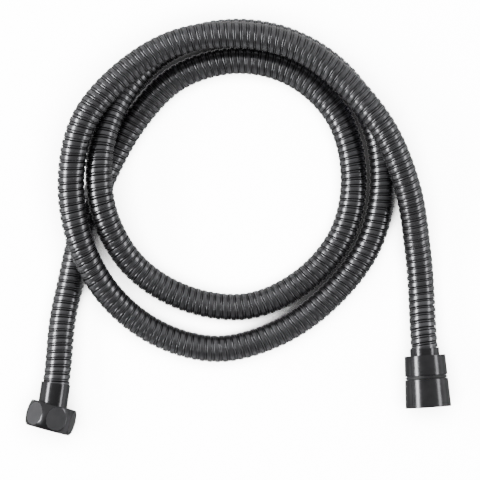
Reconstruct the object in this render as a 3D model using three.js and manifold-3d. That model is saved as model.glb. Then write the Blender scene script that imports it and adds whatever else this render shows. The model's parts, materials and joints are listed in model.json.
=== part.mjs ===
// Metal shower hose lying in a loose coil of a little over two turns.
// Lengths are millimetres, +Z is up, and the hose lies on z = 0.
// +Y is away from the two end fittings, whose mouths point along -Y.
import * as THREE from 'three';
import { mergeVertices } from 'three/addons/utils/BufferGeometryUtils.js';
import Module from 'manifold-3d';

const wasm = await Module();
wasm.setup();

// Clearances
const seatGap = 0.3;         // between pieces that bear on each other
const crimpGap = 0.2;        // between a crimped ferrule and the hose in it

// Hose
const hoseDiameter = 14.8;   // over the crests of the wound strip
const hoseWall = 1.25;       // depth of the interlocked strip
const tubeWall = 1.2;        // rubber inner tube
const tubeClearance = 0.55;  // between the strip and the inner tube
const hoseSides = 12;
const tubeSides = 8;
const hoseSteps = 80;

// Ferrules and tailpieces
const ferruleWall = 0.4;
const ferruleLip = 0.9;
const hexFerruleLength = 13.7;
const coneFerruleLength = 12.2;
const neckRadius = 5.9;
const boreRadius = 3.2;
const barbLength = 11;
const barbCount = 3;
const barbHeight = 0.35;
const flangeStep = 0.5;      // flange's edge inside the washer's
const flangeThickness = 1.8;

// Pipe thread sockets, half-inch parallel thread with the fine thread left plain
const threadRadius = 9.4;    // over the crests of the inside thread
const reliefDepth = 0.7;     // undercut at the end of the thread
const reliefLength = 1.5;
const mouthChamfer = 1.0;
const washerThickness = 2.0;
const washerGap = 0.6;       // between the washer and the thread's crests
const washerHoleRadius = 5.2;

// Hexagonal nut
const nutHeight = 14.2;
const nutWall = 3.25;           // from the thread's crests to the flats
const nutFlatDepth = 1.2;       // of the flats in the barrel, at its widest
const nutBarrelArc = 18.75;     // radius of the barrel's bulge
const nutWeb = 1.6;
const nutRecessDepth = 3.1;
const nutEdge = 0.6;
const nutTurn = 17;             // degrees from straight up to the nearest flat
const nutCock = 7;              // degrees that the slack nut leans on its tailpiece

// Tapered fitting
const coneWall = 3.15;          // from the thread's crests to the mouth's outside
const coneTaper = 2.8;          // degrees, half angle
const coneNutLength = 15.4;
const coneWeb = 2.0;
const grooveWidth = 2.1;
const ringDepth = 0.7;          // ring's edge below the taper
const collarLength = 11.0;
const collarWeb = 2.4;
const coneEdge = 0.5;

// The flats' cutter is longer than the nut by this at each end
const cutterReach = 1;

// Seal of the swivel
const sealRadius = 0.6;         // of its round section

// Route of the hose's middle line. Heights are in hose diameters above lying on the floor.
// Each end runs straight out of its fitting, and the points between are x, y, height.
const straightRun = 20;
const middle = { x: 0.9, y: -7.1 };    // where the middle of these points lies in the part's own frame
const hexEnd = { x: -103.5, y: -97, heading: 172, noseUp: 4 };
const coneEnd = { x: 102.5, y: -79.5, heading: 183.8, noseUp: coneTaper };
const laidPoints = [
  [-97.6, -45, 0.12], [-93.2, -23.5, 0.02], [-87, 3, 0], [-75, 35, 0], [-57.5, 66, 0],
  [-34, 89.5, 0], [-1.5, 98.7, 0], [30.5, 90.8, 0], [54.3, 67.6, 0], [62.6, 35, 0], [56, 2.6, 0],
  [34.4, -22.8, 0.01], [3.5, -36.5, 0.03], [-30, -32, 0.12], [-58, -14, 0.46], [-74, 15, 0.97],
  [-76, 48.5, 0.96], [-64.5, 80, 0.43], [-40.5, 104.5, 0.1], [-7.5, 114.2, 0.03], [26, 109.7, 0.01],
  [55, 91.6, 0], [74, 62.5, 0], [78.5, 29, 0], [70.1, -4.1, 0], [49.2, -31.2, 0],
  [21.6, -50.8, 0.01], [-11.6, -59.9, 0.03], [-44.2, -51.8, 0.17], [-70.5, -31, 0.56],
  [-86.5, -2, 1.13], [-91.7, 31.5, 1.35], [-84.7, 64.2, 1.54], [-63, 90.2, 1.36],
  [-34.5, 107.3, 1.13], [-1.5, 111.6, 1.05], [31.3, 104.6, 1.04], [58.2, 85.2, 1.04], [79, 59, 1.03],
  [91.8, 27.4, 0.72], [97.6, -6, 0.18], [99.6, -28.5, 0.04],
];

// Sizes worked out from the ones above
const washerRadius = threadRadius - washerGap;
const flangeRadius = washerRadius - flangeStep;
const nutAcrossFlats = 2 * (threadRadius + nutWall);
const nutBarrelRadius = nutAcrossFlats / 2 + nutFlatDepth;
const coneMouthRadius = threadRadius + coneWall;
const hoseRadius = hoseDiameter / 2;
const stripInnerRadius = hoseRadius - hoseWall;
const tubeOuterRadius = stripInnerRadius - tubeClearance;
const tubeInnerRadius = tubeOuterRadius - tubeWall;
const ferruleInnerRadius = hoseRadius + crimpGap;
const ferruleRadius = ferruleInnerRadius + ferruleWall;
const barbRadius = tubeInnerRadius * Math.cos(Math.PI / tubeSides) - seatGap;
const degrees = Math.PI / 180;

// Places along each fitting's axis, counted from the middle of the tailpiece's flange to the mouth
const flangeBack = -flangeThickness / 2;
const flangeFront = flangeThickness / 2;
const washerBack = flangeFront + seatGap;
const washerFront = washerBack + washerThickness;

const cockSlope = Math.sin(nutCock * degrees);
const nutSeat = flangeBack - seatGap - flangeRadius * cockSlope;
const nutWebBack = nutSeat - nutWeb;
const nutRear = nutWebBack - nutRecessDepth;
const nutMouth = nutRear + nutHeight;
const nutMiddle = (nutRear + nutMouth) / 2;
const nutHoleRadius = neckRadius + seatGap + (nutWeb - nutSeat) * cockSlope;
const nutRecessRadius = ferruleRadius + seatGap - nutRear * cockSlope;
const hexFerruleFront = nutWebBack - seatGap - ferruleRadius * cockSlope;
const hexFerruleRear = hexFerruleFront - hexFerruleLength;
const hexHoseEnd = hexFerruleFront - ferruleLip - seatGap;

const coneSeat = flangeBack - seatGap;
const coneNutRear = coneSeat - coneWeb;
const coneMouth = coneNutRear + coneNutLength;
const collarFront = coneNutRear - grooveWidth;
const collarRear = collarFront - collarLength;
const coneHoleRadius = neckRadius + seatGap;
const collarSocketEnd = collarFront - collarWeb;
const coneFerruleFront = collarSocketEnd - seatGap;
const coneFerruleRear = coneFerruleFront - coneFerruleLength;
const coneHoseEnd = coneFerruleFront - ferruleLip - seatGap;

// Resting heights of the two fittings: the tapered one lies along its side, and the nut stands on
// the edge of one flat
const coneRadiusAt = (along) => coneMouthRadius - (coneMouth - along) * Math.tan(coneTaper * degrees);
const coneRestHeight = coneRadiusAt(0) * Math.cos(coneTaper * degrees);
const flatHalfAngle = Math.acos(nutAcrossFlats / 2 / nutBarrelRadius);
const nutRestHeight = nutBarrelRadius * Math.cos(flatHalfAngle - nutTurn * degrees);

// A solid of revolution about +Y. The profile is a list of radius and place along the axis that
// goes up the outside and down the inside, and closes on itself.
function turned(profile, segments) {
  const points = [...profile, profile[0]].map(([radius, along]) => new THREE.Vector2(radius, along));
  return new THREE.LatheGeometry(points, segments);
}

// Corner rounded by three points, between two straight edges along the axis and the radius
function roundedCorner(radius, along, size, side) {
  const points = [];
  for (let i = 0; i <= 2; i += 1) {
    const angle = (i / 2) * 90 * degrees;
    points.push([
      radius - size + size * (side > 0 ? Math.cos(angle) : Math.sin(angle)),
      along - side * size + side * size * (side > 0 ? Math.sin(angle) : Math.cos(angle)),
    ]);
  }
  return points;
}

function toSolid(geometry) {
  const bare = geometry.clone();
  bare.deleteAttribute('normal');
  bare.deleteAttribute('uv');
  const merged = mergeVertices(bare, 1e-4);
  return new wasm.Manifold(new wasm.Mesh({
    numProp: 3,
    vertProperties: new Float32Array(merged.attributes.position.array),
    triVerts: new Uint32Array(merged.index.array),
  }));
}

function toGeometry(solid) {
  const mesh = solid.getMesh();
  const geometry = new THREE.BufferGeometry();
  geometry.setAttribute('position', new THREE.BufferAttribute(new Float32Array(mesh.vertProperties), 3));
  geometry.setIndex(new THREE.BufferAttribute(new Uint32Array(mesh.triVerts), 1));
  geometry.computeVertexNormals();
  return geometry;
}

// Materials
const coatedSteel = () => new THREE.MeshStandardMaterial({ color: 0x46464a, roughness: 0.32, metalness: 0.8 });
const coatedBrass = () => new THREE.MeshStandardMaterial({ color: 0x48484b, roughness: 0.35, metalness: 0.8 });
const plainBrass = () => new THREE.MeshStandardMaterial({ color: 0xb08d4c, roughness: 0.35, metalness: 1 });
const blackRubber = () => new THREE.MeshStandardMaterial({ color: 0x1b1b1c, roughness: 0.85, metalness: 0 });
const paleNylon = () => new THREE.MeshStandardMaterial({ color: 0x5b5b5f, roughness: 0.5, metalness: 0 });

function piece(name, geometry, material) {
  const mesh = new THREE.Mesh(geometry, material);
  mesh.name = name;
  return mesh;
}

// Frames of the two end fittings: +Y points out of the mouth, and the origin is the flange's middle
function fittingFrame(end, height) {
  const frame = new THREE.Group();
  frame.position.set(end.x, end.y, height);
  frame.rotation.set(end.noseUp * degrees, 0, end.heading * degrees, 'ZXY');
  frame.updateMatrixWorld(true);
  return frame;
}

const hexFrame = fittingFrame(hexEnd, nutRestHeight);
const coneFrame = fittingFrame(coneEnd, coneRestHeight);

// The hose's middle line, from the hexagonal nut to the tapered one
function hoseRoute() {
  const points = [
    hexFrame.localToWorld(new THREE.Vector3(0, hexHoseEnd, 0)),
    hexFrame.localToWorld(new THREE.Vector3(0, hexHoseEnd - straightRun, 0)),
    ...laidPoints.map(([x, y, height]) => new THREE.Vector3(x, y, hoseRadius + height * hoseDiameter)),
    coneFrame.localToWorld(new THREE.Vector3(0, coneHoseEnd - straightRun, 0)),
    coneFrame.localToWorld(new THREE.Vector3(0, coneHoseEnd, 0)),
  ];
  return new THREE.CatmullRomCurve3(points, false, 'catmullrom', 0.5);
}

function polygonPoints(radius, sides) {
  const points = [];
  for (let i = 0; i < sides; i += 1) {
    const angle = (i / sides) * 2 * Math.PI;
    points.push(new THREE.Vector2(radius * Math.cos(angle), radius * Math.sin(angle)));
  }
  return points;
}

// A hollow tube along the route
function hollowTube(outer, inner, sides) {
  const section = new THREE.Shape(polygonPoints(outer, sides));
  section.holes.push(new THREE.Path(polygonPoints(inner, sides)));
  return new THREE.ExtrudeGeometry(section, { steps: hoseSteps, extrudePath: route, bevelEnabled: false });
}

const route = hoseRoute();

// Crimped sleeve over the hose, with a lip that hooks in front of the hose's end
function ferrule(rear, front) {
  const lipRadius = neckRadius + seatGap;
  return turned([
    [ferruleInnerRadius, rear],
    [ferruleRadius, rear],
    [ferruleRadius, front - ferruleWall],
    [ferruleRadius - ferruleWall, front],
    [lipRadius, front],
    [lipRadius, front - ferruleLip],
    [ferruleInnerRadius, front - ferruleLip],
  ], 36);
}

// Tailpiece: barbs in the inner tube, a neck through the nut's web and the flange that holds the nut
function tailpiece(hoseEnd, grooveAt) {
  const neckBack = hoseEnd + seatGap;
  const barbBack = neckBack - barbLength;
  const barbPitch = barbLength / (barbCount + 1);
  const outline = [[boreRadius, barbBack], [barbRadius - barbHeight, barbBack]];
  for (let i = 0; i < barbCount; i += 1) {
    outline.push([barbRadius, barbBack + barbPitch * (i + 0.8)]);
    outline.push([barbRadius - barbHeight, barbBack + barbPitch * (i + 1)]);
  }
  outline.push([barbRadius - barbHeight, neckBack], [neckRadius, neckBack]);
  if (grooveAt !== undefined) {
    const half = sealRadius + seatGap;
    const floor = neckRadius - 2 * sealRadius - seatGap;
    outline.push([neckRadius, grooveAt - half], [floor, grooveAt - half]);
    outline.push([floor, grooveAt + half], [neckRadius, grooveAt + half]);
  }
  outline.push([neckRadius, flangeBack], [flangeRadius, flangeBack]);
  outline.push([flangeRadius, flangeFront], [boreRadius, flangeFront]);
  return turned(outline, 28);
}

// Flat rubber washer on the flange
function washer() {
  return turned([
    [washerHoleRadius, washerBack],
    [washerRadius, washerBack],
    [washerRadius, washerFront],
    [washerHoleRadius, washerFront],
  ], 36);
}

// Inside of a nut from its mouth down to its web's hole, with thread, undercut and seat
function socketProfile(mouth, seat, holeRadius) {
  const reliefRadius = threadRadius + reliefDepth;
  return [
    [threadRadius + mouthChamfer, mouth],
    [threadRadius, mouth - mouthChamfer],
    [threadRadius, seat + reliefLength],
    [reliefRadius, seat + reliefLength - reliefDepth],
    [reliefRadius, seat],
    [holeRadius, seat],
  ];
}

// Hexagonal nut: a turned barrel cut by six flats, which leave a circle each
function hexNut() {
  const rows = 8;
  const barrel = [];
  for (let i = 0; i <= rows; i += 1) {
    const along = nutRear + nutEdge + (i / rows) * (nutHeight - 2 * nutEdge);
    const offset = along - nutMiddle;
    const sink = nutBarrelArc - Math.sqrt(nutBarrelArc * nutBarrelArc - offset * offset);
    barrel.push([nutBarrelRadius - sink, along]);
  }
  const endRadius = barrel[0][0] - nutEdge;
  const solid = toSolid(turned([
    [nutRecessRadius, nutRear],
    [endRadius, nutRear],
    ...barrel,
    [endRadius, nutMouth],
    ...socketProfile(nutMouth, nutSeat, nutHoleRadius),
    [nutHoleRadius, nutWebBack],
    [nutRecessRadius, nutWebBack],
  ], 54));
  const corner = nutAcrossFlats / 2 / Math.cos(30 * degrees);
  const prism = new THREE.ExtrudeGeometry(new THREE.Shape(polygonPoints(corner, 6)), {
    depth: nutHeight + 2 * cutterReach,
    bevelEnabled: false,
  });
  prism.rotateZ(-nutTurn * degrees);
  prism.rotateX(-90 * degrees);
  prism.translate(0, nutRear - cutterReach, 0);
  return toGeometry(solid.intersect(toSolid(prism)));
}

// Front, threaded part of the tapered fitting
function coneNut() {
  return turned([
    [coneHoleRadius, coneNutRear],
    [coneRadiusAt(coneNutRear) - coneEdge, coneNutRear],
    [coneRadiusAt(coneNutRear + coneEdge), coneNutRear + coneEdge],
    ...roundedCorner(coneRadiusAt(coneMouth - coneEdge), coneMouth, coneEdge, 1),
    ...socketProfile(coneMouth, coneSeat, coneHoleRadius),
  ], 48);
}

// Rear part of the tapered fitting, over the ferrule's front end
function coneCollar() {
  const socketRadius = ferruleRadius + seatGap;
  return turned([
    [socketRadius, collarRear],
    ...roundedCorner(coneRadiusAt(collarRear), collarRear, coneEdge, -1),
    [coneRadiusAt(collarFront - coneEdge), collarFront - coneEdge],
    [coneRadiusAt(collarFront) - coneEdge, collarFront],
    [coneHoleRadius, collarFront],
    [coneHoleRadius, collarSocketEnd],
    [socketRadius, collarSocketEnd],
  ], 48);
}

// Thin ring in the groove between the two tapered parts
function coneRing() {
  const rear = collarFront + seatGap;
  const front = coneNutRear - seatGap;
  const radius = coneRadiusAt((rear + front) / 2) - ringDepth;
  return turned([
    [coneHoleRadius, rear],
    [radius - seatGap, rear],
    [radius, (rear + front) / 2],
    [radius - seatGap, front],
    [coneHoleRadius, front],
  ], 48);
}

// Round rubber ring in the tailpiece's groove
function swivelSeal(at) {
  const seal = new THREE.TorusGeometry(neckRadius - sealRadius, sealRadius, 6, 28);
  seal.rotateX(90 * degrees);
  seal.translate(0, at, 0);
  return seal;
}

const sealAt = coneSeat - coneWeb / 2;

hexFrame.add(piece('hex_ferrule', ferrule(hexFerruleRear, hexFerruleFront), coatedBrass()));
hexFrame.add(piece('hex_nipple', tailpiece(hexHoseEnd), plainBrass()));
hexFrame.add(piece('hex_washer', washer(), blackRubber()));

// The nut hangs slack on the flange and leans in plan, about the flange's middle
const hexNutMesh = piece('hex_nut', hexNut(), coatedBrass());
const nutFrame = fittingFrame({ ...hexEnd, heading: hexEnd.heading - nutCock }, nutRestHeight);
nutFrame.add(hexNutMesh);

coneFrame.add(piece('cone_ferrule', ferrule(coneFerruleRear, coneFerruleFront), coatedBrass()));
coneFrame.add(piece('cone_nipple', tailpiece(coneHoseEnd, sealAt), plainBrass()));
coneFrame.add(piece('cone_seal', swivelSeal(sealAt), blackRubber()));
coneFrame.add(piece('cone_washer', washer(), blackRubber()));
coneFrame.add(piece('cone_collar', coneCollar(), coatedBrass()));
coneFrame.add(piece('cone_ring', coneRing(), paleNylon()));
coneFrame.add(piece('cone_nut', coneNut(), coatedBrass()));

const showerHose = new THREE.Group();
showerHose.position.set(middle.x, middle.y, 0);
showerHose.add(piece('spiral_hose', hollowTube(hoseRadius, stripInnerRadius, hoseSides), coatedSteel()));
showerHose.add(piece('inner_tube', hollowTube(tubeOuterRadius, tubeInnerRadius, tubeSides), blackRubber()));
showerHose.add(hexFrame, nutFrame, coneFrame);

export default showerHose;
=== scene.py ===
# %% [markdown]
# # A metal shower hose, coiled on a table
#
# The hose is one long steel strip, wound into a helix and coated dark grey. It lies in a loose coil
# of a little over two turns. A hexagonal swivel nut is on one end, and a tapered, two-part swivel
# fitting on the other. Lengths are metres, +Z is up, and the hose lies on z = 0.
#
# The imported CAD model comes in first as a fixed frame. Every piece below is placed by that frame,
# so it sits where the solids are, and moves with the same bodies.

# %% Load the frame
import json
import math

import bpy
import numpy as np
from mathutils import Matrix, Vector


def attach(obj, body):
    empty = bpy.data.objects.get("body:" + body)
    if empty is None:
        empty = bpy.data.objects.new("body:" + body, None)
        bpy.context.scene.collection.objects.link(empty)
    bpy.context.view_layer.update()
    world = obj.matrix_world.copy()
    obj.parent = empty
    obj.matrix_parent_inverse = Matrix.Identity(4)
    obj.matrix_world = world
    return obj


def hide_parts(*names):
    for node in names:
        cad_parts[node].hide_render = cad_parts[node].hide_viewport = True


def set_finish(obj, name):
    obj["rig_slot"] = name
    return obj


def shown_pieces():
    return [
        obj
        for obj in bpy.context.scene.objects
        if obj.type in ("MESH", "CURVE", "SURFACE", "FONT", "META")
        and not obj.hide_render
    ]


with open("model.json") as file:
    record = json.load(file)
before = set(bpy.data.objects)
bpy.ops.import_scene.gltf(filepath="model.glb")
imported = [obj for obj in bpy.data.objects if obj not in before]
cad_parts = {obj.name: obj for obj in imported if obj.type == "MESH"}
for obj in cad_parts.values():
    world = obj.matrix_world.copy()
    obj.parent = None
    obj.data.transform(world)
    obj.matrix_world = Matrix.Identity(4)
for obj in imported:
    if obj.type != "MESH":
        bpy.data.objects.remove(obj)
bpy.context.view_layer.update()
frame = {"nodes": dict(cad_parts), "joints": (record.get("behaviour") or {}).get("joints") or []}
millimetre = 0.001
print("CAD nodes:", ", ".join(sorted(frame["nodes"])))

# %% [markdown]
# ## Camera
#
# The photograph looks straight down. A long lens from 1.4 m up gives its slight perspective: the
# upper turn looks a little larger than the one on the table. The lens follows from how much of the
# table the picture's width covers.

# %% Camera over the middle of the picture
camera_height = 1.4
picture_width = 0.264
picture_middle = Vector((0.0009, -0.0071))
hose_radius = 7.4 * millimetre
hose_diameter = 2 * hose_radius

camera_data = bpy.data.cameras.new("camera")
camera_data.sensor_width = 36
camera_data.lens = camera_data.sensor_width * (camera_height - hose_radius) / picture_width
camera = bpy.data.objects.new("camera", camera_data)
camera.location = (picture_middle.x, picture_middle.y, camera_height)
bpy.context.scene.collection.objects.link(camera)
bpy.context.scene.camera = camera
print(f"lens {camera_data.lens:.0f} mm")

# %% [markdown]
# ## The hose's middle line
#
# A hose bends evenly, so its middle line is one smooth curve through listed points. These are the points
# of the CAD route: x and y on the table, and the height in hose diameters above lying flat. Where the
# hose crosses itself, it climbs one diameter in a long low hump. Both ends run straight out of their
# fittings, whose places and directions come from the frame. The hose itself ends a few millimetres behind
# each flange. The hexagonal nut leans a little on its tailpiece, so the hose has a direction of its own
# there.

# %% Places of the two fittings
swivels = {joint["name"]: joint for joint in frame["joints"]}
hex_place = Vector(swivels["hex_nut_turn"]["pos_m"])
hex_nut_axis = Vector(swivels["hex_nut_turn"]["axis"]).normalized()
cone_place = Vector(swivels["cone_nut_turn"]["pos_m"])
cone_axis = Vector(swivels["cone_nut_turn"]["axis"]).normalized()


def heading_axis(heading, nose_up):
    """Direction out of a fitting's mouth, from its turn in plan and its rise, in degrees."""
    turn, rise = math.radians(heading), math.radians(nose_up)
    return Vector((-math.sin(turn) * math.cos(rise), math.cos(turn) * math.cos(rise), math.sin(rise)))


hex_setback, cone_setback = 6.3 * millimetre, 9.2 * millimetre
hex_hose_axis = heading_axis(heading=172, nose_up=4)
hex_hose_end = hex_place - hex_setback * hex_hose_axis
cone_hose_end = cone_place - cone_setback * cone_axis
print(f"the hexagonal nut leans {math.degrees(hex_nut_axis.angle(hex_hose_axis)):.1f} degrees")

# %% Route points
straight_run = 0.02
laid_points = [
    (-0.0976, -0.045, 0.12), (-0.0932, -0.0235, 0.02), (-0.087, 0.003, 0), (-0.075, 0.035, 0),
    (-0.0575, 0.066, 0), (-0.034, 0.0895, 0), (-0.0015, 0.0987, 0), (0.0305, 0.0908, 0),
    (0.0543, 0.0676, 0), (0.0626, 0.035, 0), (0.056, 0.0026, 0), (0.0344, -0.0228, 0.01),
    (0.0035, -0.0365, 0.03), (-0.03, -0.032, 0.12), (-0.058, -0.014, 0.46), (-0.074, 0.015, 0.97),
    (-0.076, 0.0485, 0.96), (-0.0645, 0.08, 0.43), (-0.0405, 0.1045, 0.1), (-0.0075, 0.1142, 0.03),
    (0.026, 0.1097, 0.01), (0.055, 0.0916, 0), (0.074, 0.0625, 0), (0.0785, 0.029, 0),
    (0.0701, -0.0041, 0), (0.0492, -0.0312, 0), (0.0216, -0.0508, 0.01), (-0.0116, -0.0599, 0.03),
    (-0.0442, -0.0518, 0.17), (-0.0705, -0.031, 0.56), (-0.0865, -0.002, 1.13),
    (-0.0917, 0.0315, 1.35), (-0.0847, 0.0642, 1.54), (-0.063, 0.0902, 1.36),
    (-0.0345, 0.1073, 1.13), (-0.0015, 0.1116, 1.05), (0.0313, 0.1046, 1.04), (0.0582, 0.0852, 1.04),
    (0.079, 0.059, 1.03), (0.0918, 0.0274, 0.72), (0.0976, -0.006, 0.18), (0.0996, -0.0285, 0.04),
]
route_points = [
    hex_hose_end,
    hex_hose_end - straight_run * hex_hose_axis,
    *[
        Vector((x + picture_middle.x, y + picture_middle.y, hose_radius + height * hose_diameter))
        for x, y, height in laid_points
    ],
    cone_hose_end - straight_run * cone_axis,
    cone_hose_end,
]
print(len(route_points), "route points")


# %% Smooth curve through the points
def smooth_line(points, steps):
    """Points along the Catmull-Rom curve through the given points, with even steps between each two."""
    knots = np.array([list(p) for p in points])
    knots = np.vstack([2 * knots[0] - knots[1], knots, 2 * knots[-1] - knots[-2]])
    line = []
    for before, start, end, after in zip(knots[:-3], knots[1:-2], knots[2:-1], knots[3:]):
        leave, arrive = (end - before) / 2, (after - start) / 2
        t = (np.arange(steps) / steps)[:, None]
        line.append(
            (2 * t**3 - 3 * t**2 + 1) * start
            + (t**3 - 2 * t**2 + t) * leave
            + (3 * t**2 - 2 * t**3) * end
            + (t**3 - t**2) * arrive
        )
    return np.vstack([*line, knots[-2][None]])


def even_line(line, count):
    """The same line with its points at equal distances along it, and its length."""
    along = np.concatenate([[0], np.cumsum(np.linalg.norm(np.diff(line, axis=0), axis=1))])
    wanted = np.linspace(0, along[-1], count)
    return np.column_stack([np.interp(wanted, along, line[:, k]) for k in range(3)]), along[-1]


steps_between_points = 60
line_points = 1501
middle_line, hose_length = even_line(smooth_line(route_points, steps_between_points), line_points)
print(f"hose {hose_length:.3f} m along its middle line")

# %% [markdown]
# ## The wound strip
#
# A double-lock hose is a folded strip whose edges hook into each other, turn after turn. From
# outside, each turn shows a broad flat crest, a thin dark gap, and a narrow step a little below the
# crests before the next turn. The profile below is one pitch of that, and the mesh follows the
# helix, so the edges stay crisp: each column of vertices is shifted a little further along the hose.
#
# In a bend the strip keeps its width, and only the gap opens on the outside and closes on the
# inside. The frame that carries the sections never twists about the line.

# %% Sections along the hose, without twist
tangents = np.gradient(middle_line, axis=0)
tangents /= np.linalg.norm(tangents, axis=1)[:, None]
step_length = hose_length / (len(middle_line) - 1)
bend = np.gradient(tangents, axis=0) / step_length
sides = [np.cross(tangents[0], [0.0, 0.0, 1.0])]
for tangent in tangents[1:]:
    side = sides[-1] - tangent * np.dot(sides[-1], tangent)
    sides.append(side / np.linalg.norm(side))
sides = np.array(sides)
sides /= np.linalg.norm(sides, axis=1)[:, None]
others = np.cross(tangents, sides)
bend_radius = 1 / np.linalg.norm(bend, axis=1).max()
print(f"tightest bend radius {1000 * bend_radius:.0f} mm")


def along_hose(values, distance):
    """Values of the middle line's points, read at any distance along the hose."""
    at = np.clip(distance / step_length, 0, len(middle_line) - 1)
    low = np.minimum(at.astype(int), len(middle_line) - 2)
    share = (at - low)[..., None]
    return values[low] * (1 - share) + values[low + 1] * share


# %% [markdown]
# A corner of the profile is a place across the pitch, as a share of it, and a depth below the hose's
# largest radius, in millimetres. The crest comes first and takes 63% of the pitch. The gap and the
# step take the rest. Two spare turns beyond each end are there to be cut off.

# %% Shape of the strip over one pitch
turns = 372
spare_turns = 2
pitch = hose_length / turns
crest_share = 0.63
strip_profile = [
    (0.000, 0.50), (0.018, 0.16), (0.080, 0.02), (0.550, 0.02), (0.612, 0.16), (0.630, 0.95),
    (0.700, 0.95), (0.715, 0.34), (0.905, 0.28), (0.930, 0.70),
]
around = 25
strip_hole = 6.15 * millimetre
inside_rows = 180
print(f"pitch {1000 * pitch:.2f} mm")


# %% Mesh of the strip
def quads(index):
    """Four-sided faces between neighbouring rows and columns of a grid of vertex numbers."""
    corners = (index[:-1, :-1], index[:-1, 1:], index[1:, 1:], index[1:, :-1])
    return np.column_stack([corner.ravel() for corner in corners])


def hose_points(distance, angle, radius):
    """Points round the hose's middle line, by distance along it, angle and radius."""
    side, other = along_hose(sides, distance), along_hose(others, distance)
    outward = np.cos(angle)[None, :, None] * side + np.sin(angle)[None, :, None] * other
    return along_hose(middle_line, distance) + outward * radius[..., None]


def strip_mesh():
    """Closed tube with a helical outside and a plain inside: vertices, faces and a UV for each corner."""
    rows_per_turn = len(strip_profile)
    turn_rows = np.arange((turns + 2 * spare_turns) * rows_per_turn)
    turn = turn_rows // rows_per_turn - spare_turns
    share = np.array([p[0] for p in strip_profile])[turn_rows % rows_per_turn]
    depth = np.array([p[1] for p in strip_profile])[turn_rows % rows_per_turn] * millimetre
    angle = np.arange(around) * 2 * math.pi / around

    centre = pitch * (turn[:, None] + angle[None, :] / (2 * math.pi) + crest_share / 2)
    offset = np.broadcast_to((share - crest_share / 2)[:, None] * pitch, centre.shape)
    side, other = along_hose(sides, centre), along_hose(others, centre)
    outward = np.cos(angle)[None, :, None] * side + np.sin(angle)[None, :, None] * other
    stretch = 1 - hose_radius * np.einsum("ijk,ijk->ij", outward, along_hose(bend, centre))

    half_crest = crest_share / 2 * pitch
    gap = pitch - 2 * half_crest
    kept = np.clip(offset, -half_crest, half_crest) / stretch
    opened = (offset - half_crest) * (pitch - 2 * half_crest / stretch) / gap
    distance = centre + kept + np.where(offset > half_crest, opened, 0)

    radius = np.broadcast_to(hose_radius - depth[:, None], centre.shape).copy()
    radius[(distance < 0) | (distance > hose_length)] = strip_hole
    outside = hose_points(np.clip(distance, 0, hose_length), angle, radius)
    inside_at = np.broadcast_to(np.linspace(0, hose_length, inside_rows)[:, None], (inside_rows, around))
    inside = hose_points(inside_at, angle, np.full(inside_at.shape, strip_hole))

    rows = len(turn_rows)
    index = np.arange(rows * around).reshape(rows, around)
    wrapped = np.column_stack([index, np.roll(index[:, 0], -rows_per_turn)])[: rows - rows_per_turn]
    across = np.broadcast_to((turn + share)[:, None], (rows, around + 1))[: len(wrapped)]
    wound = (turn[:, None] + np.arange(around + 1) / around)[: len(wrapped)]
    inner = rows * around + np.arange(inside_rows * around).reshape(inside_rows, around)
    inner = np.column_stack([inner, inner[:, 0]])
    faces = np.vstack([quads(wrapped), quads(inner)[:, ::-1]])
    outer_uv = np.stack([quads(across), quads(wound)], axis=-1)
    uv = np.vstack([outer_uv.reshape(-1, 2), np.zeros((len(quads(inner)) * 4, 2))])
    return np.vstack([outside.reshape(-1, 3), inside.reshape(-1, 3)]), faces, uv


vertices, faces, strip_uv = strip_mesh()
hose = bpy.data.objects.new("hose_strip", bpy.data.meshes.new("hose_strip"))
hose.data.from_pydata(vertices.tolist(), [], faces.tolist())
hose.data.uv_layers.new(name="strip").data.foreach_set("uv", strip_uv.astype(np.float32).ravel())
bpy.context.scene.collection.objects.link(hose)
print(len(vertices), "vertices,", len(faces), "faces")


# %% [markdown]
# The first and last turns are cut flat across the hose, inside the ferrules. Their vertices were
# drawn in to the inner wall, so merging doubles closes both ends. Weighted normals keep the broad
# crests flat in the light, with the bend in the shading left to their narrow rounded edges.

# %% Helpers for edit mode and modifiers
def select_only(piece):
    """Makes the piece the only selected and the active object."""
    bpy.ops.object.select_all(action="DESELECT")
    piece.select_set(True)
    bpy.context.view_layer.objects.active = piece


def add_and_apply(piece, kind, **settings):
    """Adds a modifier with these settings and applies it."""
    select_only(piece)
    modifier = piece.modifiers.new(kind.title(), kind)
    for name, value in settings.items():
        setattr(modifier, name, value)
    bpy.ops.object.modifier_apply(modifier=modifier.name)


def merge_doubles(piece, distance):
    """Joins vertices that are closer than the distance."""
    select_only(piece)
    bpy.ops.object.mode_set(mode="EDIT")
    bpy.ops.mesh.select_all(action="SELECT")
    bpy.ops.mesh.remove_doubles(threshold=distance)
    bpy.ops.object.mode_set(mode="OBJECT")


# %% Close and smooth the hose
merge_doubles(hose, 0.002 * millimetre)
select_only(hose)
bpy.ops.object.shade_smooth()
add_and_apply(hose, "WEIGHTED_NORMAL", mode="FACE_AREA", weight=60, keep_sharp=False)
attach(hose, "hose")
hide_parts("spiral_hose")
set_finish(hose, "coated_strip")
print(sum(len(face.vertices) - 2 for face in hose.data.polygons), "triangles in the hose")

# %% [markdown]
# ## Turned brass pieces
#
# Every fitting is turned on a lathe, so each starts as the lathe's own drawing: half of its section.
# One vertex is extruded from corner to corner of that section and spun once round the axis. A bevel
# then breaks the sharp edges, as the turner's file does. Places along the axis are in millimetres
# from the middle of the flange, and +Z is out of the mouth until the piece is put in its place.

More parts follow.
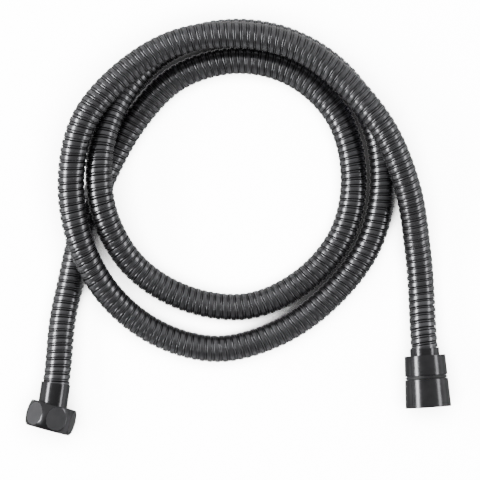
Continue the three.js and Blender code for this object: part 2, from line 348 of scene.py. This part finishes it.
# %% Line drawn from corner to corner
def drawn_line(name, section):
    """New object in edit mode, with edges through (radius, place along the axis), in millimetres."""
    bpy.ops.object.select_all(action="DESELECT")
    bpy.ops.mesh.primitive_plane_add(size=0.001)
    piece = bpy.context.active_object
    piece.name = piece.data.name = name
    bpy.ops.object.mode_set(mode="EDIT")
    bpy.ops.mesh.select_all(action="SELECT")
    bpy.ops.mesh.merge(type="CENTER")
    corners = [Vector((radius * millimetre, 0, along * millimetre)) for radius, along in section]
    bpy.ops.transform.translate(value=corners[0])
    for last, corner in zip(corners, corners[1:]):
        bpy.ops.mesh.extrude_region_move(TRANSFORM_OT_translate={"value": corner - last})
    bpy.ops.mesh.select_all(action="SELECT")
    return piece


def close_mesh():
    """Merges the doubles of the mesh in edit mode, turns its faces outwards and leaves edit mode."""
    bpy.ops.mesh.select_all(action="SELECT")
    bpy.ops.mesh.remove_doubles(threshold=1e-6)
    bpy.ops.mesh.normals_make_consistent(inside=False)
    bpy.ops.object.mode_set(mode="OBJECT")


# %% Turned solid from a section
def spun(name, section, segments=96, edge=0.2):
    """Section drawn as a closed line and spun round Z, with bevels of the given width."""
    piece = drawn_line(name, section)
    bpy.ops.object.mode_set(mode="OBJECT")
    piece.data.edges.add(1)
    piece.data.edges[-1].vertices = (len(section) - 1, 0)
    bpy.ops.object.mode_set(mode="EDIT")
    bpy.ops.mesh.select_all(action="SELECT")
    bpy.ops.mesh.spin(steps=segments, angle=2 * math.pi, center=(0, 0, 0), axis=(0, 0, 1))
    close_mesh()
    if edge:
        soften(piece, edge)
    return piece


def soften(piece, edge):
    """Bevels every edge that turns more than 12 degrees, and shades the rest smooth."""
    add_and_apply(
        piece, "BEVEL", width=edge * millimetre, segments=2, limit_method="ANGLE",
        angle_limit=math.radians(12), use_clamp_overlap=True,
    )
    select_only(piece)
    bpy.ops.object.shade_smooth()
    add_and_apply(piece, "WEIGHTED_NORMAL", mode="FACE_AREA", weight=90, keep_sharp=False)


def put_in_place(piece, place, axis, body, node, slot):
    """Turns the piece's Z to the axis, with its X upwards, sets it at the place and dresses the node."""
    up = (Vector((0, 0, 1)) - axis * axis.z).normalized()
    turn = Matrix((up, axis.cross(up), axis)).transposed().to_4x4()
    piece.data.transform(Matrix.Translation(place) @ turn)
    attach(piece, body)
    if node:
        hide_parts(node)
    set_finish(piece, slot)
    return piece


# %% Spans of the CAD pieces along their axes
def span(node, place, axis):
    """Lowest and highest place along the axis and largest radius of a CAD node, in millimetres."""
    points = np.array([list(vertex.co - place) for vertex in frame["nodes"][node].data.vertices])
    along = points @ np.array(axis)
    radius = np.linalg.norm(points - along[:, None] * np.array(axis), axis=1)
    return along.min() * 1000, along.max() * 1000, radius.max() * 1000


nut_rear, nut_mouth, _ = span("hex_nut", hex_place, hex_nut_axis)
hex_sleeve_rear, hex_sleeve_front, sleeve_radius = span("hex_ferrule", hex_place, hex_hose_axis)
cone_sleeve_rear, cone_sleeve_front, _ = span("cone_ferrule", cone_place, cone_axis)
cone_rear, cone_mouth, _ = span("cone_nut", cone_place, cone_axis)
collar_rear, collar_front, _ = span("cone_collar", cone_place, cone_axis)
print(f"nut {nut_rear:.1f} to {nut_mouth:.1f} mm, tapered nut {cone_rear:.1f} to {cone_mouth:.1f} mm")

# %% [markdown]
# ## Ferrules and tailpieces
#
# A thin sleeve is crimped over each end of the hose, and grips it on the barbs of a brass tailpiece.
# The tailpiece's neck runs through the nut, and its flange holds the nut on. The rubber washer lies
# on that flange.

# %% Ferrules
neck_radius = 5.9
clear = 0.3
sleeve_wall = 0.4
sleeve_lip = 0.9
shoulder = 0.9


def ferrule_section(rear, front):
    """Sleeve with a broken edge at the rear, a rounded front shoulder and a lip in front of the hose."""
    outer, inner, hole = sleeve_radius, sleeve_radius - sleeve_wall, neck_radius + clear
    return [
        (inner, rear), (outer - 0.08, rear), (outer, rear + 0.3), (outer, front - shoulder),
        (outer - 0.25, front - 0.25), (outer - shoulder, front), (hole, front),
        (hole, front - sleeve_lip), (inner, front - sleeve_lip),
    ]


hex_sleeve = spun("hex_sleeve", ferrule_section(hex_sleeve_rear, hex_sleeve_front), edge=0.12)
put_in_place(hex_sleeve, hex_place, hex_hose_axis, "hose", "hex_ferrule", "coated_brass")
cone_sleeve = spun("cone_sleeve", ferrule_section(cone_sleeve_rear, cone_sleeve_front), edge=0.12)
put_in_place(cone_sleeve, cone_place, cone_axis, "hose", "cone_ferrule", "coated_brass")

# %% Tailpieces and washers
flange_radius = 8.3
flange_half = 0.9
bore_radius = 3.2
bore_chamfer = 0.6
stem_radius = bore_radius + 0.2
stem_length = 10.7
barb_radius = 3.76
barb_places = (8.5, 5.8, 3.0)
washer_hole, washer_radius = 5.2, 8.8
washer_back = flange_half + clear
washer_front = washer_back + 2
groove_inner, groove_bottom, groove_outer = 7.1, 7.3, 7.5
groove_depth = 0.25


def tailpiece_section(hose_end):
    """Barbed stem that reaches back into the hose, neck, and flange with a chamfered bore."""
    section = [(bore_radius, hose_end - stem_length), (stem_radius, hose_end - stem_length)]
    for place in barb_places:
        section += [(barb_radius, hose_end - place), (stem_radius + 0.05, hose_end - place + 0.4)]
    section += [
        (stem_radius, hose_end + clear), (neck_radius, hose_end + clear), (neck_radius, -flange_half),
        (flange_radius, -flange_half), (flange_radius, flange_half),
        (bore_radius + bore_chamfer, flange_half), (bore_radius, flange_half - bore_chamfer),
    ]
    return section


def washer_section():
    """Flat rubber ring with a groove turned in its face."""
    return [
        (washer_hole, washer_back), (washer_radius, washer_back), (washer_radius, washer_front),
        (groove_outer, washer_front), (groove_bottom, washer_front - groove_depth),
        (groove_inner, washer_front), (washer_hole, washer_front),
    ]


for end, place, axis, hose_end in (
    ("hex", hex_place, hex_hose_axis, hex_sleeve_front - sleeve_lip - clear),
    ("cone", cone_place, cone_axis, cone_sleeve_front - sleeve_lip - clear),
):
    tailpiece = spun(end + "_tailpiece", tailpiece_section(hose_end), segments=64, edge=0.1)
    put_in_place(tailpiece, place, axis, "hose", end + "_nipple", "plain_brass")
    washer = spun(end + "_washer_ring", washer_section(), segments=72, edge=0.15)
    put_in_place(washer, place, axis, "hose", end + "_washer", "black_rubber")

# %% [markdown]
# ## Hexagonal nut
#
# The nut is turned as a barrel first, and the six flats are milled after that. Where a flat plane
# cuts a barrel, the cut is a circle, and that is the round face in the photograph. Here the spun
# barrel is bisected by six planes, and each cut is filled. The milled faces are then marked with an
# attribute, so that their finish can differ from the turned one.

# %% Thread and socket of both nuts
thread_root = 10.3
thread_crest = 9.4
thread_pitch = 1.814
steps_per_round = 60


def socket_section(mouth, seat, hole):
    """Inside of a nut from its mouth to the hole in its web, with a chamfer and an undercut."""
    return [
        (thread_root + 0.7, mouth), (thread_root, mouth - 0.8), (thread_root, seat + 1.5),
        (thread_root + 0.1, seat + 1.3), (thread_root + 0.1, seat), (hole, seat),
    ]


def inside_thread(name, low, high):
    """Helical ridge with a rounded crest and its foot sunk in the wall, from low to high on the axis."""
    foot_radius, shoulder_radius = thread_root + 0.15, thread_crest + 0.15
    foot_half, shoulder_half = 0.40 * thread_pitch, 0.17
    ridge = drawn_line(name, [
        (foot_radius, low - foot_half), (shoulder_radius, low - shoulder_half), (thread_crest, low),
        (shoulder_radius, low + shoulder_half), (foot_radius, low + foot_half),
    ])
    bpy.ops.mesh.edge_face_add()
    bpy.ops.object.mode_set(mode="OBJECT")
    rounds = (high - low) / thread_pitch
    steps = int(steps_per_round * rounds)
    add_and_apply(
        ridge, "SCREW", angle=2 * math.pi * rounds, screw_offset=(high - low) * millimetre,
        iterations=1, steps=steps, render_steps=steps, axis="Z",
    )
    bpy.ops.object.mode_set(mode="EDIT")
    close_mesh()
    bpy.ops.object.shade_smooth_by_angle(angle=math.radians(40))
    return ridge


# %% Turned barrel
barrel_radius = 13.85
barrel_arc = 18.75
barrel_steps = 16
rear_edge, mouth_edge = 0.8, 1.5
nut_hole, nut_web = 6.66, 1.6
recess_radius, recess_depth = 9.15, 3.1
nut_middle = (nut_rear + nut_mouth) / 2
nut_seat = nut_rear + recess_depth + nut_web
barrel_length = nut_mouth - nut_rear - rear_edge - mouth_edge
barrel = []
for step in range(barrel_steps + 1):
    along = nut_rear + rear_edge + step / barrel_steps * barrel_length
    radius = barrel_radius - barrel_arc + math.sqrt(barrel_arc**2 - (along - nut_middle) ** 2)
    barrel.append((radius, along))
rear_radius, front_radius = barrel[0][0], barrel[-1][0]
nut_section = [
    (recess_radius, nut_rear), (rear_radius - 0.7, nut_rear), (rear_radius - 0.25, nut_rear + 0.2),
    *barrel,
    (front_radius - 0.55, nut_mouth - 0.5), (front_radius - 1.2, nut_mouth),
    *socket_section(nut_mouth, nut_seat, nut_hole),
    (nut_hole, nut_seat - nut_web), (recess_radius, nut_seat - nut_web),
]
hex_nut = spun("hex_nut_turned", nut_section, segments=144, edge=0)
print(len(hex_nut.data.polygons), "faces in the turned barrel")

# %% Six flats
across_flats = 25.3
flat_turn = 17
flat_angles = [math.radians(60 * side - flat_turn) for side in range(6)]
flat_normals = [Vector((math.cos(angle), math.sin(angle), 0)) for angle in flat_angles]
select_only(hex_nut)
bpy.ops.object.mode_set(mode="EDIT")
for normal in flat_normals:
    bpy.ops.mesh.select_all(action="SELECT")
    bpy.ops.mesh.bisect(
        plane_co=normal * across_flats / 2 * millimetre, plane_no=normal, use_fill=True, clear_outer=True,
    )
bpy.ops.object.mode_set(mode="OBJECT")
soften(hex_nut, 0.13)

# %% Mark the milled faces and place the nut
milled = hex_nut.data.attributes.new("milled", "FLOAT", "FACE")
nearly_on_plane = (across_flats / 2 - 0.02) * millimetre
for face in hex_nut.data.polygons:
    for normal in flat_normals:
        if face.center.dot(normal) > nearly_on_plane and face.normal.dot(normal) > 0.999:
            milled.data[face.index].value = 1
print(sum(mark.value == 1 for mark in milled.data), "milled faces")
put_in_place(hex_nut, hex_place, hex_nut_axis, "hex_swivel", "hex_nut", "coated_brass")
hex_thread = inside_thread("hex_thread", low=nut_seat + 2.3, high=nut_mouth - 0.9)
put_in_place(hex_thread, hex_place, hex_nut_axis, "hex_swivel", None, "coated_brass")
print(len(hex_nut.data.polygons), "faces in the hexagonal nut")

# %% [markdown]
# ## Tapered fitting
#
# The conical end fits the holder of the hand shower. It is two turned pieces with a groove between
# them, which a ring of dark nylon nearly fills: the collar stays with the hose, and the front nut
# turns. Only the raised middle of the ring shows, between two dark lines.

# %% Tapered nut, collar and ring
taper = math.radians(2.8)
mouth_radius = 12.55


def taper_radius(along):
    """Radius of the tapered outside at a place along the axis."""
    return mouth_radius - (cone_mouth - along) * math.tan(taper)


cone_seat = -flange_half - clear
cone_hole = neck_radius + clear
cone_nut = spun("cone_nut_turned", [
    (cone_hole, cone_rear), (taper_radius(cone_rear), cone_rear), (taper_radius(cone_mouth), cone_mouth),
    *socket_section(cone_mouth, cone_seat, cone_hole),
], edge=0.3)
put_in_place(cone_nut, cone_place, cone_axis, "cone_swivel", "cone_nut", "coated_brass")
cone_thread = inside_thread("cone_thread", low=cone_seat + 2.6, high=cone_mouth - 1.2)
put_in_place(cone_thread, cone_place, cone_axis, "cone_swivel", None, "coated_brass")

socket_radius = sleeve_radius + clear
socket_end = cone_sleeve_front + clear
cone_collar = spun("cone_collar_turned", [
    (socket_radius, collar_rear), (taper_radius(collar_rear), collar_rear),
    (taper_radius(collar_front), collar_front), (cone_hole, collar_front),
    (cone_hole, socket_end), (socket_radius, socket_end),
], edge=0.3)
put_in_place(cone_collar, cone_place, cone_axis, "hose", "cone_collar", "coated_brass")

_, _, groove_floor = span("cone_ring", cone_place, cone_axis)
ring_rear, ring_front = collar_front + 0.03, cone_rear - 0.06
ring_middle = (ring_rear + ring_front) / 2
ring_radius = groove_floor + 0.55
ring_step = groove_floor - 0.05
top_half, foot_half = 0.3, 0.4
cone_ring = spun("cone_ring_turned", [
    (cone_hole, ring_rear), (ring_step, ring_rear), (ring_step, ring_middle - foot_half),
    (ring_radius, ring_middle - top_half), (ring_radius, ring_middle + top_half),
    (ring_step, ring_middle + foot_half), (ring_step, ring_front), (cone_hole, ring_front),
], edge=0.08)
put_in_place(cone_ring, cone_place, cone_axis, "hose", "cone_ring", "grey_nylon")

# %% [markdown]
# ## Finishes
#
# The metal is coated dark grey by vapour, a thin hard film that mirrors like the metal below. So it
# is a metal with a very dark colour: in the dark studio above it looks nearly black, and the bright
# strip lights still show white. Fine clouding in colour and roughness keeps it from looking flat.

# %% Helper for node materials
def new_material(name):
    """Empty node material with its shader and output, as (material, nodes, links, shader)."""
    material = bpy.data.materials.new(name)
    material.use_nodes = True
    nodes, links = material.node_tree.nodes, material.node_tree.links
    nodes.clear()
    shader = nodes.new("ShaderNodeBsdfPrincipled")
    output = nodes.new("ShaderNodeOutputMaterial")
    links.new(shader.outputs["BSDF"], output.inputs["Surface"])
    return material, nodes, links, shader


def noise(nodes, links, scale, detail, coordinate="Object", stretch=(1, 1, 1)):
    """Noise texture on object coordinates, or on the named UV map."""
    if coordinate == "Object":
        source = nodes.new("ShaderNodeTexCoord").outputs["Object"]
    else:
        uv = nodes.new("ShaderNodeUVMap")
        uv.uv_map = coordinate
        source = uv.outputs["UV"]
    mapping = nodes.new("ShaderNodeMapping")
    mapping.inputs["Scale"].default_value = stretch
    texture = nodes.new("ShaderNodeTexNoise")
    texture.inputs["Scale"].default_value = scale
    texture.inputs["Detail"].default_value = detail
    links.new(source, mapping.inputs["Vector"])
    links.new(mapping.outputs["Vector"], texture.inputs["Vector"])
    return texture.outputs["Fac"]


def ramp_over(nodes, links, factor, stops):
    """Colour ramp over a factor, through stops of (position, colour)."""
    ramp = nodes.new("ShaderNodeValToRGB")
    elements = ramp.color_ramp.elements
    while len(elements) < len(stops):
        elements.new(0.5)
    for element, (position, colour) in zip(elements, stops):
        element.position = position
        element.color = (*colour, 1)
    links.new(factor, ramp.inputs["Fac"])
    return ramp.outputs["Color"]


def between(nodes, links, factor, low, high):
    """Maps the middle range of a noise to a range of values, or of colours."""
    noise_low, noise_high = 0.3, 0.7
    if isinstance(low, tuple):
        return ramp_over(nodes, links, factor, [(noise_low, low), (noise_high, high)])
    scale = nodes.new("ShaderNodeMapRange")
    scale.inputs["From Min"].default_value = noise_low
    scale.inputs["From Max"].default_value = noise_high
    scale.inputs["To Min"].default_value = low
    scale.inputs["To Max"].default_value = high
    links.new(factor, scale.inputs["Value"])
    return scale.outputs["Result"]


def parts_of(material):
    """Nodes, links and shader of a material that is already made."""
    nodes = material.node_tree.nodes
    shader = next(node for node in nodes if node.type == "BSDF_PRINCIPLED")
    return nodes, material.node_tree.links, shader


# %% Coated metal, for the strip and for the turned pieces
def coated_metal(name, dark, light, rough, coordinate, scale, stretch, bump, metallic=1.0):
    """Dark vapour-coated metal with clouding and fine lines."""
    material, nodes, links, shader = new_material(name)
    shader.inputs["Metallic"].default_value = metallic
    clouds = noise(nodes, links, scale=160, detail=4)
    links.new(between(nodes, links, clouds, dark, light), shader.inputs["Base Color"])
    lines = noise(nodes, links, scale, 3, coordinate, stretch)
    links.new(between(nodes, links, lines, *rough), shader.inputs["Roughness"])
    relief = nodes.new("ShaderNodeBump")
    relief.inputs["Strength"].default_value = bump
    relief.inputs["Distance"].default_value = 0.00002
    links.new(lines, relief.inputs["Height"])
    links.new(relief.outputs["Normal"], shader.inputs["Normal"])
    return material


coated_strip = coated_metal(
    "coated_strip", (0.060, 0.060, 0.063), (0.080, 0.080, 0.084), (0.23, 0.30),
    coordinate="strip", scale=6, stretch=(1.0, 0.15, 1), bump=0.1, metallic=0.92,
)
coated_brass = coated_metal(
    "coated_brass", (0.036, 0.036, 0.038), (0.048, 0.048, 0.050), (0.18, 0.25),
    coordinate="Object", scale=900, stretch=(1, 1, 1), bump=0.05,
)
satin_brass = coated_metal(
    "satin_brass", (0.038, 0.038, 0.040), (0.046, 0.046, 0.048), (0.20, 0.24),
    coordinate="Object", scale=900, stretch=(1, 1, 1), bump=0.02,
)

# %% [markdown]
# The hexagonal nut has a satin finish. Its milled flats are paler and duller than its turned barrel,
# which the attribute made on the nut tells apart.

# %% Paler flats on the hexagonal nut
flat_paleness, flat_dullness = 1.9, 0.16
nodes, links, shader = parts_of(satin_brass)
clouds = shader.inputs["Base Color"].links[0].from_socket
flats = nodes.new("ShaderNodeAttribute")
flats.attribute_name = "milled"
paler = nodes.new("ShaderNodeMapRange")
paler.inputs["To Min"].default_value = 1.0
paler.inputs["To Max"].default_value = flat_paleness
links.new(flats.outputs["Fac"], paler.inputs["Value"])
tint = nodes.new("ShaderNodeVectorMath")
tint.operation = "SCALE"
links.new(clouds, tint.inputs[0])
links.new(paler.outputs["Result"], tint.inputs["Scale"])
links.new(tint.outputs["Vector"], shader.inputs["Base Color"])
duller = nodes.new("ShaderNodeMath")
duller.operation = "MULTIPLY_ADD"
duller.inputs[1].default_value = flat_dullness
turned_finish = shader.inputs["Roughness"].links[0].from_socket
links.new(flats.outputs["Fac"], duller.inputs[0])
links.new(turned_finish, duller.inputs[2])
links.new(duller.outputs["Value"], shader.inputs["Roughness"])

# %% [markdown]
# Little light gets down into the groove of the strip, so shade is painted into its colour there. The
# strip's own UV map counts turns along U, so the fraction of U is the place across one pitch, and a ramp
# over that paints shade into the gap, the end of the step and the foot of the crest.

# %% Painted shade in the groove of the strip
def paint_groove_shade(material, stops):
    """Multiplies the base colour by a grey of painted shade that changes with the place across one pitch.
    """
    nodes, links, shader = parts_of(material)
    clouds = shader.inputs["Base Color"].links[0].from_socket
    uv = nodes.new("ShaderNodeUVMap")
    uv.uv_map = "strip"
    split = nodes.new("ShaderNodeSeparateXYZ")
    links.new(uv.outputs["UV"], split.inputs["Vector"])
    place = nodes.new("ShaderNodeMath")
    place.operation = "FRACT"
    links.new(split.outputs["X"], place.inputs[0])
    greys = [(position, (grey, grey, grey)) for position, grey in stops]
    shade = nodes.new("ShaderNodeMix")
    shade.data_type = "RGBA"
    shade.blend_type = "MULTIPLY"
    shade.inputs["Factor"].default_value = 1
    links.new(clouds, shade.inputs["A"])
    links.new(ramp_over(nodes, links, place.outputs["Value"], greys), shade.inputs["B"])
    links.new(shade.outputs["Result"], shader.inputs["Base Color"])


# Painted shade: dark stops in the gap, at the end of the step and at the foot of the crest.
paint_groove_shade(coated_strip, [
    (0.00, 0.3), (0.05, 1.0), (0.58, 1.0), (0.61, 0.2),
    (0.70, 0.2), (0.73, 0.8), (0.90, 0.8), (0.93, 0.2),
])

# %% Brass, rubber and nylon
plain_brass, nodes, links, shader = new_material("plain_brass")
shader.inputs["Metallic"].default_value = 1.0
links.new(
    between(nodes, links, noise(nodes, links, 300, 4), (0.56, 0.36, 0.13), (0.68, 0.47, 0.2)),
    shader.inputs["Base Color"],
)
links.new(between(nodes, links, noise(nodes, links, 1200, 3), 0.22, 0.38), shader.inputs["Roughness"])

black_rubber, nodes, links, shader = new_material("black_rubber")
links.new(
    between(nodes, links, noise(nodes, links, 700, 5), (0.012, 0.012, 0.012), (0.028, 0.027, 0.026)),
    shader.inputs["Base Color"],
)
links.new(between(nodes, links, noise(nodes, links, 2500, 3), 0.6, 0.85), shader.inputs["Roughness"])

grey_nylon, nodes, links, shader = new_material("grey_nylon")
links.new(
    between(nodes, links, noise(nodes, links, 900, 3), (0.005, 0.005, 0.006), (0.009, 0.009, 0.010)),
    shader.inputs["Base Color"],
)
shader.inputs["Specular IOR Level"].default_value = 0.3
links.new(between(nodes, links, noise(nodes, links, 2000, 2), 0.4, 0.55), shader.inputs["Roughness"])

# %% Give each piece its finish
finishes = {
    "coated_strip": coated_strip,
    "coated_brass": coated_brass,
    "plain_brass": plain_brass,
    "black_rubber": black_rubber,
    "grey_nylon": grey_nylon,
}
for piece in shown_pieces():
    slot_name = piece.get("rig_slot")
    if piece.name in ("inner_tube", "cone_seal"):
        slot_name = "black_rubber"
    finish = satin_brass if piece == hex_nut else finishes[slot_name]
    if not piece.material_slots:
        piece.data.materials.append(finish)
    piece.material_slots[0].material = finish

# %% [markdown]
# ## Table and light
#
# The photograph has a white table almost without shadows, and two soft streaks down each run of
# hose. A large soft lamp straight above lights the table alone. Two long strip lights draw the
# streaks, and the metal mirrors a dim surround everywhere else, so the table's glare stays out of it.
# The hexagonal nut has a shorter strip light of its own: the photograph shows no streak on its barrel,
# only a thin bright line round one flat. Shade is painted into the table's colour where the hose is close
# above it, because the narrow gaps between the turns are nearly black there.

# %% Table
bpy.ops.object.select_all(action="DESELECT")
bpy.ops.mesh.primitive_plane_add(size=6, location=(0, 0, 0))
table = bpy.context.active_object
table.name = "table"
table.visible_glossy = False
white_table, nodes, links, shader = new_material("white_table")
shader.inputs["Roughness"].default_value = 0.9
shader.inputs["Specular IOR Level"].default_value = 0
# Painted shadow: the table's colour goes nearly black where ambient occlusion finds the hose close above
# it.
painted_shade_occlusion = nodes.new("ShaderNodeAmbientOcclusion")
painted_shade_occlusion.samples = 32
painted_shade_occlusion.inputs["Distance"].default_value = 2 * hose_diameter
painted_table_shade = [(0.22, (0.015, 0.015, 0.015)), (0.36, (0.9, 0.9, 0.9))]
links.new(ramp_over(nodes, links, painted_shade_occlusion.outputs["AO"], painted_table_shade), shader.inputs["Base Color"])
table.data.materials.append(white_table)
table_only = bpy.data.collections.new("table_only")
table_only.objects.link(table)


# %% Area lights
def area_light(name, toward, tilt, width, length, radiance, distance=1.3):
    """Light on the side given in plan, tilted from overhead, both in degrees, and facing the hose."""
    lamp = bpy.data.lights.new(name, "AREA")
    lamp.shape = "RECTANGLE"
    lamp.size = width
    lamp.size_y = length
    lamp.energy = radiance * math.pi * width * length
    light = bpy.data.objects.new(name, lamp)
    turn = Matrix.Rotation(math.radians(toward), 4, "Z") @ Matrix.Rotation(math.radians(tilt), 4, "Y")
    light.matrix_world = turn @ Matrix.Translation((0, 0, distance))
    light.visible_camera = False
    bpy.context.scene.collection.objects.link(light)
    return light


left_strip = area_light("left_strip", toward=180, tilt=54, width=0.30, length=1.4, radiance=46)
area_light("right_strip", toward=0, tilt=62, width=0.30, length=1.4, radiance=11)
overhead = area_light("overhead", toward=0, tilt=0, width=2.4, length=2.4, radiance=44, distance=2.0)
overhead.light_linking.receiver_collection = table_only

# %% Strip light for the hexagonal nut alone
nut_strip = area_light("nut_strip", toward=180, tilt=52, width=0.25, length=0.45, radiance=54)
nut_only = bpy.data.collections.new("nut_only")
nut_only.objects.link(hex_nut)
nut_strip.light_linking.receiver_collection = nut_only
all_but_nut = bpy.data.collections.new("all_but_nut")
all_but_nut.objects.link(hex_nut)
all_but_nut.collection_objects[0].light_linking.link_state = "EXCLUDE"
left_strip.light_linking.receiver_collection = all_but_nut

# %% [markdown]
# The surround is the dim studio that the metal mirrors. It is dim overhead, which the middle of each
# run mirrors, and brightest in a band just below the horizon, which draws the paler edges. It is
# brighter towards +Y as well, which the upper sides of the runs across the picture mirror, and
# darkest straight below.

# %% Surround
world = bpy.data.worlds.new("studio")
world.use_nodes = True
bpy.context.scene.world = world
nodes, links = world.node_tree.nodes, world.node_tree.links
background = nodes["Background"]
background.inputs["Color"].default_value = (1, 1, 1, 1)
coordinate = nodes.new("ShaderNodeTexCoord")
split = nodes.new("ShaderNodeSeparateXYZ")
links.new(coordinate.outputs["Generated"], split.inputs["Vector"])


def graded(output, start, end, low, high):
    """Smooth change from one brightness to another as a direction's coordinate goes up."""
    grade = nodes.new("ShaderNodeMapRange")
    grade.interpolation_type = "SMOOTHSTEP"
    grade.inputs["From Min"].default_value = start
    grade.inputs["From Max"].default_value = end
    grade.inputs["To Min"].default_value = low
    grade.inputs["To Max"].default_value = high
    links.new(split.outputs[output], grade.inputs["Value"])
    return grade.outputs["Result"]


def combined(operation, first, second):
    """Larger, smaller or product of two brightnesses."""
    node = nodes.new("ShaderNodeMath")
    node.operation = operation
    links.new(first, node.inputs[0])
    links.new(second, node.inputs[1])
    return node.outputs["Value"]


low_band = combined("MINIMUM", graded("Z", -0.5, -0.15, 0.7, 1.9), graded("Z", 0.0, 0.35, 1.9, 0.45))
surround = combined("MAXIMUM", graded("Y", -0.05, 0.3, 0.45, 1.3), low_band)
surround = combined("MULTIPLY", surround, graded("Z", -0.95, -0.6, 0.45, 1.0))
links.new(surround, background.inputs["Strength"])
